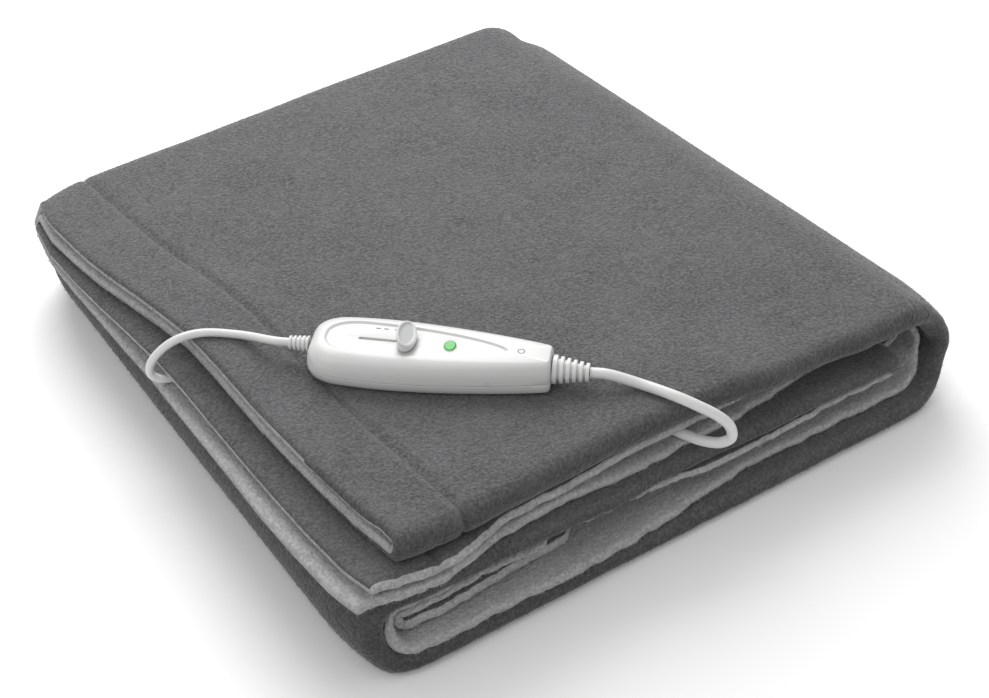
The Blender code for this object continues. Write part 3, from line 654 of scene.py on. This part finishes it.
def part_plies(x, y, z):
    """Lifts what lies over a tucked lead and presses what lies under it."""
    half_gap = (PITCH - PLY) / 2
    moved = z.copy()
    for place in PARTED:
        past = np.hypot(x - place["x"], y - place["y"]) - PARTED_FLAT
        opened = place["open"] * (1 - smooth(past / PARTED_FADE))
        levels = [0, place["level"] - half_gap, place["level"] + half_gap, 3 * STRIP]
        moved = moved + opened * np.interp(moved, levels, [0, -0.5, 0.5, 0.5])
    return moved


def pressed_height(x, y, z):
    """Height of a level of the even stack once it is pressed."""
    full = 3 * STRIP
    first = np.interp(PLY / full, PRESSED["even"], PRESSED["real"])
    share = (np.interp(z / full, PRESSED["even"], PRESSED["real"]) - first) / (1 - first)
    ground = PRESSED_BOTTOM * PLY
    pressed = ground + share * (full * corner_mean("height", x, y) - ground)
    return np.where(z < PLY, PRESSED_BOTTOM * z, pressed)


def settle(x, y, z):
    """Where points of the even stack really lie, and how thick the cloth is there as a share of PLY."""
    height = pressed_height(x, y, part_plies(x, y, z))
    low, high = np.maximum(z - PITCH / 8, 0), z + PITCH / 8
    share = (pressed_height(x, y, high) - pressed_height(x, y, low)) / (high - low)
    mound = sum(m["rise"] * np.exp(-((x - m["x"]) ** 2 + (y - m["y"]) ** 2) / m["radius"] ** 2)
                for m in MOUNDS)
    foot = 1 - z / (3 * STRIP)
    new_x, new_y = rounded(x, y)
    new_x = new_x + corner_mean("move_x", x, y) + foot * corner_mean("foot_x", x, y)
    new_y = new_y + corner_mean("move_y", x, y) + foot * corner_mean("foot_y", x, y)
    return np.stack([new_x, new_y, height + mound * (z / (3 * STRIP)) ** 2], axis=-1), share


# %% [markdown]
# ## The cloth as one sheet
# The sheet is a grid: its columns run across the roll, from hem a to hem d, and its rows run along the
# roll, from the hidden inner end to the hem on top. Points lie close together at the edges that show,
# and further apart inside. The hems are rounded by letting the thickness fall to nothing along a
# quarter circle.

# %% The sheet's grid
HEM_STEPS = np.array([0.0, 0.0003, 0.0010, 0.0021, 0.0037])   # from a hem's tip to its full thickness


def spread(start, end, fine_count, fine_step, coarse_count):
    """Places from an edge inwards, close together over the first stretch."""
    length = abs(end - start)
    fine = HEM_STEPS[-1] + np.arange(1, fine_count + 1) * fine_step
    rest = np.linspace(fine[-1], length, coarse_count + 1)[1:]
    return start + math.copysign(1, end - start) * np.concatenate([HEM_STEPS, fine, rest])


def turn(centre, radius, start, end, steps):
    """Points of an arc, without its two ends."""
    angles = np.radians(np.linspace(start, end, steps + 1))[1:-1]
    return centre[0] + radius * np.cos(angles), centre[1] + radius * np.sin(angles)


def across(edges):
    """The cloth across the roll: places in y and offsets from the strip's middle, hem a to hem d."""
    back = HALF_Y - 1.5 * PITCH - PLY / 2
    fold = -HALF_Y + edges["closed"] + 0.5 * PITCH + PLY / 2
    ply_a = spread(-HALF_Y + edges["hem_a"], back, 6, 0.0040, 11)
    ply_d = spread(-HALF_Y + edges["hem_d"], back, 6, 0.0040, 11)
    ply_b = np.linspace(back, fold, 14)
    ply_c = fold + (back - fold) * np.linspace(0, 1, 42)
    pieces = [(ply_a, np.full(len(ply_a), PLY_OFFSET["a"])),
              turn((back, 0.0), 0.5 * PITCH, -90, 90, 6),
              (ply_b, np.full(len(ply_b), PLY_OFFSET["b"])),
              turn((fold, PITCH), 0.5 * PITCH, 270, 90, 10),
              (ply_c, np.full(len(ply_c), PLY_OFFSET["c"])),
              turn((back, 0.0), 1.5 * PITCH, 90, -90, 12),
              (ply_d[::-1], np.full(len(ply_d), PLY_OFFSET["d"]))]
    return np.concatenate([p[0] for p in pieces]), np.concatenate([p[1] for p in pieces])


def along():
    """The middle line of the roll: rows of strips, place, height, outward normal and end share."""
    near, far = -HALF_X + NEAR_TURN + 1.5 * PITCH + PLY / 2, HALF_X - FAR_TURN - 1.5 * PITCH - PLY / 2
    middle = (LOW + TOP) / 2
    inner_end = far + FAR_TURN + 1.5 * PITCH
    hem = spread(-HALF_X, far, 30, 0.0024, 76)[::-1]
    rows = [{"strips": ("B", "B", 0), "x": x, "z": INNER, "out": (0, 1), "end": "inner",
             "share": (x - near) / (inner_end - near)} for x in np.linspace(inner_end, near, 108)]
    rows += [{"strips": ("B", "A", u), "x": near + NEAR_TURN * math.cos(a),
              "z": 2 * LOW + NEAR_TURN * math.sin(a), "out": (math.cos(a), math.sin(a))}
             for u, a in arc_steps(90, 270, 12)]
    rows += [{"strips": ("A", "A", 0), "x": x, "z": LOW, "out": (0, -1)} for x in np.linspace(near, far, 108)]
    rows += [{"strips": ("A", "T", u), "x": far + FAR_TURN * math.cos(a),
              "z": middle + FAR_TURN * math.sin(a), "out": (math.cos(a), math.sin(a))}
             for u, a in arc_steps(-90, 90, 24)]
    rows += [{"strips": ("T", "T", 0), "x": x, "z": TOP, "out": (0, 1), "end": "hem",
              "share": (far - x) / (far + HALF_X)} for x in hem]
    return rows


def arc_steps(start, end, steps):
    return [(k / steps, math.radians(start + (end - start) * k / steps)) for k in range(1, steps)]


def ragged(x, seed):
    """A cut edge is never straight: slow and quick wandering of it, in metres."""
    slow, quick = noise.noise(Vector((x / 0.014, seed, 0))), noise.noise(Vector((x / 0.005, seed, 9)))
    return RAGGED * (slow + 0.6 * quick)


def edges_at(strip, x):
    seed = {"B": 1.7, "A": 4.3, "T": 8.9}[strip]
    wander = {"closed": 0.3 * ragged(x, seed), "hem_a": ragged(x, seed + 20), "hem_d": ragged(x, seed + 40)}
    return {key: float(read_rows(FRONT_EDGES[strip], "x", x, key)) + wander[key] for key in wander}


def sheet_grid():
    """Settled points of the cloth's middle surface, and the thickness share, row by row."""
    ground = (PITCH - PLY) / 2
    points, shares = [], []
    order = [PLY_OFFSET[k] for k in "dabc"]
    for row in along():
        first, second, part = row["strips"]
        part = float(smooth(part))
        ends = edges_at(first, row["x"]), edges_at(second, row["x"])
        edges = {key: ends[0][key] * (1 - part) + ends[1][key] * part for key in ends[0]}
        y, offset = across(edges)
        x = np.full(len(y), row["x"]) + row["out"][0] * offset
        if row.get("end") == "inner":
            inset = np.interp(offset, order, [INNER_END[k] for k in "dabc"])
            x = x - inset * row["share"]
        elif row.get("end") == "hem":
            columns = {k: read_rows(TOP_HEM, "y", y, k) for k in "dabc"}
            stack = np.stack([columns[k] for k in "dabc"])
            weight = np.clip((offset - order[0]) / PITCH, 0, 3)
            lower = np.minimum(weight.astype(int), 2)
            part_up = weight - lower
            index = np.arange(len(y))
            inset = stack[lower, index] * (1 - part_up) + stack[lower + 1, index] * part_up
            x = x + inset * row["share"]
        place, share = settle(x, y, row["z"] + row["out"][1] * offset - ground)
        points.append(place)
        shares.append(share)
    return np.array(points), np.array(shares)


def wrinkled(points):
    """Long soft wrinkles, strongest on top. Plies move together, so they stay apart."""
    top = points[..., 2].max()
    for point in points.reshape(-1, 3):
        across_way, along_way = point[0] + 0.6 * point[1], point[1] - 0.6 * point[0]
        swell = noise.noise(Vector((across_way / WRINKLE["length"], along_way / WRINKLE["width"], 2.5)))
        point[2] += WRINKLE["height"] * swell * (point[2] / top) ** 3
    return points


grid, thickness_share = sheet_grid()
grid = wrinkled(grid)
print("grid of", grid.shape[0], "by", grid.shape[1], "points")


# %% Two faces and a rounded hem
def hem_profile(count_before, count, steps):
    """Share of the full thickness over the grid's rows or columns: a quarter circle at each end."""
    full = HEM_STEPS[-1]
    rise = np.sqrt(np.clip(1 - (1 - np.minimum(steps, full) / full) ** 2, 0, 1))
    share = np.ones(count)
    share[:len(rise)] = np.minimum(share[:len(rise)], rise)
    share[count - count_before:] = np.minimum(share[count - count_before:], rise[::-1][-count_before:])
    return share


def make_sheet(grid, shares, from_hem):
    """The cloth's dark face and its light face. They share the points of the border."""
    rows, columns = shares.shape
    normal = np.cross(np.gradient(grid, axis=1), np.gradient(grid, axis=0))
    normal /= np.maximum(np.linalg.norm(normal, axis=-1, keepdims=True), 1e-12)
    count = len(HEM_STEPS)
    column_share = hem_profile(count, columns, HEM_STEPS)
    row_share = np.ones(rows)
    row_share[-count:] = hem_profile(count, rows, HEM_STEPS)[-count:]
    row_share[0] = 0.0
    full = shares * column_share[None, :] * row_share[:, None]
    seam = SEAM["depth"] * np.exp(-((from_hem - SEAM["from_edge"]) / SEAM["half_width"]) ** 2)
    dark = grid + normal * (DARK_HALF * full - seam[:, None] * np.minimum(full, 1))[..., None]
    light = grid - normal * (LIGHT_HALF * full)[..., None]
    dark[..., 2] = np.maximum(dark[..., 2], 0.0001)
    return dark, light


from_hem = np.array([row["x"] + HALF_X if row.get("end") == "hem" else 1.0 for row in along()])
dark_face, light_face = make_sheet(grid, thickness_share, from_hem)
print("faces", dark_face.shape)


def rim_cells(rows, columns):
    """Cells of the dark face that lie on a hem's rounded rim, where the light backing comes through."""
    rim = np.zeros((rows, columns), bool)
    rim[:, :RIM_CELLS] = rim[:, -RIM_CELLS:] = True
    rim[-1, :FOLD_COLUMNS[0]] = rim[-1, FOLD_COLUMNS[1]:] = True
    return rim


def build_cloth(name, dark, light):
    """Joins the two faces along their border, where they share their points."""
    rows, columns = dark.shape[:2]
    index = np.arange(rows * columns).reshape(rows, columns)
    border = np.zeros((rows, columns), bool)
    border[[0, -1], :] = True
    border[:, [0, -1]] = True
    light_index = np.where(border, index, 0)
    inner = ~border
    light_index[inner] = rows * columns + np.arange(inner.sum())
    vertices = np.concatenate([dark.reshape(-1, 3), light[inner]])

    def quads(table, flip):
        corners = [table[:-1, :-1], table[:-1, 1:], table[1:, 1:], table[1:, :-1]]
        made = np.stack(corners[::-1] if flip else corners, axis=-1).reshape(-1, 4)
        return made

    dark_quads, light_quads = quads(index, False), quads(light_index, True)
    rim = rim_cells(rows - 1, columns - 1).ravel()
    mesh = bpy.data.meshes.new(name)
    mesh.from_pydata(vertices.tolist(), [], np.concatenate([dark_quads, light_quads]).tolist())
    mesh.polygons.foreach_set("material_index", rim.astype(int).tolist() + [1] * len(light_quads))
    mesh.polygons.foreach_set("use_smooth", [True] * len(mesh.polygons))
    mesh.update()
    cloth = bpy.data.objects.new(name, mesh)
    bpy.context.scene.collection.objects.link(cloth)
    return cloth


blanket = build_cloth("blanket_cloth", dark_face, light_face)
print("cloth", len(blanket.data.polygons) * 2, "triangles")

# %% [markdown]
# ## Plush
# The cloth is a knitted polyester plush: a short pile stands up from a knitted ground and is brushed
# and sheared. It scatters light at grazing angles, so it has sheen. Where a hand has brushed the nap
# the other way it looks lighter or darker, in soft clouds a few centimetres wide, and the pile's tufts
# make a fine grain.


# %% Plush finishes
def plush(name, dark, pale, tip, sheen, painted_side_shade):
    """A plush in three tones: between the tufts, on the nap, and at the pile's tips.

    Where the cloth stands on edge its colour is scaled down by the last argument: painted shade on the sides.
    """
    finish, shader = new_finish(name, Roughness=0.95, Specular_IOR_Level=0.15, Sheen_Weight=sheen,
                                Sheen_Roughness=0.45, Sheen_Tint=linear("ffffff"))
    place = add_node(finish, "ShaderNodeTexCoord").outputs["Object"]
    CLOUD_MM, NAP_MM, TUFT_MM = 45.0, 7.0, 2.1
    cloud = add_node(finish, "ShaderNodeTexNoise", {"Vector": place, "Scale": 1000 / CLOUD_MM, "Detail": 3.0,
                                                    "Roughness": 0.55}).outputs["Fac"]
    nap = add_node(finish, "ShaderNodeTexNoise", {"Vector": place, "Scale": 1000 / NAP_MM, "Detail": 4.0,
                                                  "Roughness": 0.6}).outputs["Fac"]
    tuft = add_node(finish, "ShaderNodeTexNoise", {"Vector": place, "Scale": 1000 / TUFT_MM, "Detail": 2.0,
                                                   "Roughness": 0.7}).outputs["Fac"]
    mixed = add_node(finish, "ShaderNodeMath", {0: cloud, 1: nap}, operation="ADD").outputs[0]
    mixed = add_node(finish, "ShaderNodeMapRange", {"Value": mixed, "From Min": 0.70,
                                                    "From Max": 1.30}).outputs[0]
    ground = add_node(finish, "ShaderNodeMix", {"Factor": mixed, "A": linear(dark), "B": linear(pale)},
                      data_type="RGBA").outputs["Result"]
    tip_share = add_node(finish, "ShaderNodeMapRange", {"Value": tuft, "From Min": 0.40, "From Max": 0.72,
                                                        "To Max": 0.8}).outputs[0]
    tone = add_node(finish, "ShaderNodeMix", {"Factor": tip_share, "A": ground, "B": linear(tip)},
                    data_type="RGBA").outputs["Result"]
    # Painted shade: the colour is scaled down where the surface faces sideways, by how far its way out looks
    # up.
    side_shade_mask = add_node(finish, "ShaderNodeAttribute", attribute_name="side_shade_mask").outputs["Fac"]
    shade = add_node(finish, "ShaderNodeMapRange", {"Value": side_shade_mask, "From Min": 0.1, "From Max": 0.9,
                                                    "To Min": painted_side_shade, "To Max": 1.0}).outputs[0]
    tone = add_node(finish, "ShaderNodeVectorMath", {0: tone, "Scale": shade}, operation="SCALE").outputs[0]
    soft = add_node(finish, "ShaderNodeBump", {"Height": nap, "Strength": 0.5, "Distance": 0.0012})
    fine = add_node(finish, "ShaderNodeBump", {"Height": tuft, "Strength": 1.0, "Distance": 0.0013,
                                               "Normal": soft.outputs["Normal"]})
    feed(finish, shader, Base_Color=tone, Normal=fine.outputs["Normal"])
    return finish


# The last value is painted shade on the sides: the share of the colour left where the cloth stands on edge.
dark_plush = plush("knitted plush, dark grey", "444445", "565657", "6e6e6f", 0.30, 0.50)
light_plush = plush("knitted plush, light grey", "8e8e8f", "a0a0a0", "bababa", 0.10, 0.88)
def mark_side_shade_mask(mesh, upward):
    """Stores how far each point's way out of the cloth looks up; the plush finishes paint shade on the sides
    from it.
    """
    mesh.attributes.new("side_shade_mask", "FLOAT", "POINT").data.foreach_set("value", np.asarray(upward, float))


for finish in (dark_plush, light_plush):
    blanket.data.materials.append(finish)
# The upward share drives the painted side shade of the plush.
mark_side_shade_mask(blanket.data, [normal.vector.z for normal in blanket.data.vertex_normals])
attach(blanket, "folded_blanket")
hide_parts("blanket")

# %% [markdown]
# ## The pile
# The pile itself is short blades, each one triangle, all leaning with the nap and a little unevenly.
# They stand only where the cloth shows: on the top, round the turns and folds, and at the hems, which
# they fray. The blades take the finish of the face that they grow from.

# %% Pile
PILE_LENGTH, PILE_WIDTH = 0.0026, 0.00042
random = np.random.default_rng(7)


def grow_pile(name, spots, outward, finish_index, lean):
    """A mesh of blades that stand on the given spots."""
    count = len(spots)
    lay = outward + lean + random.normal(0, 0.38, (count, 3))
    lay /= np.linalg.norm(lay, axis=1, keepdims=True)
    side = np.cross(lay, random.normal(0, 1, (count, 3)))
    side *= PILE_WIDTH / 2 / np.maximum(np.linalg.norm(side, axis=1, keepdims=True), 1e-9)
    length = PILE_LENGTH * random.uniform(0.55, 1.15, (count, 1))
    root = spots - outward * 0.0010
    corners = np.stack([root - side, root + side, root + lay * length], axis=1).reshape(-1, 3)
    corners[:, 2] = np.maximum(corners[:, 2], 0.0001)
    mesh = bpy.data.meshes.new(name)
    mesh.from_pydata(corners.tolist(), [], np.arange(3 * count).reshape(-1, 3).tolist())
    mesh.polygons.foreach_set("material_index", finish_index.tolist())
    # The blades carry the same upward share, so the painted side shade reaches them too.
    mark_side_shade_mask(mesh, np.repeat(outward[:, 2], 3))
    pile = bpy.data.objects.new(name, mesh)
    bpy.context.scene.collection.objects.link(pile)
    for finish in (dark_plush, light_plush):
        mesh.materials.append(finish)
    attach(pile, "folded_blanket")
    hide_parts("blanket")
    return pile


def showing_spots(face, other, per_square_metre):
    """Spots spread evenly over the cells of a face that show, and the way out of the cloth there."""
    cells = [face[:-1, :-1], face[:-1, 1:], face[1:, 1:], face[1:, :-1]]
    area = np.linalg.norm(np.cross(cells[2] - cells[0], cells[3] - cells[1]), axis=-1) / 2
    middle = sum(cells) / 4
    out = (face - other)[:-1, :-1] + (face - other)[1:, 1:]
    out /= np.maximum(np.linalg.norm(out, axis=-1, keepdims=True), 1e-9)
    top = (out[..., 2] > 0.3) & (middle[..., 2] > 0.066)
    low = np.quantile(grid[..., :2].reshape(-1, 2), 0.002, axis=0)
    high = np.quantile(grid[..., :2].reshape(-1, 2), 0.998, axis=0)
    near_side = (middle[..., 0] - low[0] < 0.030) | (middle[..., 1] - low[1] < 0.030)
    far_side = (high[0] - middle[..., 0] < 0.020) | (high[1] - middle[..., 1] < 0.020)
    area = area * (top | near_side | far_side)
    count = int(area.sum() * per_square_metre)
    chosen = random.choice(area.size, count, p=area.ravel() / area.sum())
    row, column = np.unravel_index(chosen, area.shape)
    u, v = random.uniform(0, 1, (2, count, 1))
    spots = (cells[0][row, column] * (1 - u) * (1 - v) + cells[1][row, column] * u * (1 - v)
             + cells[2][row, column] * u * v + cells[3][row, column] * (1 - u) * v)
    return spots, out[row, column], rim_cells(*area.shape)[row, column]


NAP = np.array([-0.35, -0.45, 0.0])
made = [showing_spots(dark_face, light_face, 330000), showing_spots(light_face, dark_face, 330000)]
for (spots, outward, rim), name in zip(made, ["pile_dark", "pile_light"]):
    finish_index = rim.astype(int) if name == "pile_dark" else np.ones(len(spots), int)
    pile = grow_pile(name, spots, outward, finish_index, NAP)
    print(name, len(spots), "blades")

# %% [markdown]
# ## The floor and the light
# A pale floor, a large soft light behind and above, and an even pale surround.

# %% Floor and light
bpy.ops.mesh.primitive_plane_add(size=8.0, location=(0, 0, -0.0005))
floor = bpy.context.object
floor.name = "floor"
paper, paper_shader = new_finish("matt white paper", Roughness=0.9)
paper_shader.inputs["Base Color"].default_value = linear("f6f6f6")
floor.data.materials.append(paper)

world = bpy.data.worlds.new("studio")
world.use_nodes = True
world.node_tree.nodes["Background"].inputs["Color"].default_value = linear("ffffff")
world.node_tree.nodes["Background"].inputs["Strength"].default_value = 0.74
bpy.context.scene.world = world

LIGHTS = [
    {"name": "back_soft", "at": (0.45, 1.05, 1.15), "size": 1.3, "watts": 27.0},
    {"name": "left_soft", "at": (-1.8, -0.2, 1.6), "size": 1.2, "watts": 7.0},
]
for row in LIGHTS:
    light = bpy.data.lights.new(row["name"], "AREA")
    light.size, light.energy = row["size"], row["watts"]
    lamp = bpy.data.objects.new(row["name"], light)
    lamp.location = row["at"]
    lamp.rotation_euler = (Vector((0, 0, 0.05)) - Vector(row["at"])).to_track_quat("-Z", "Y").to_euler()
    bpy.context.scene.collection.objects.link(lamp)
bpy.context.scene.view_settings.view_transform = "Standard"
print("lights", [row["name"] for row in LIGHTS])
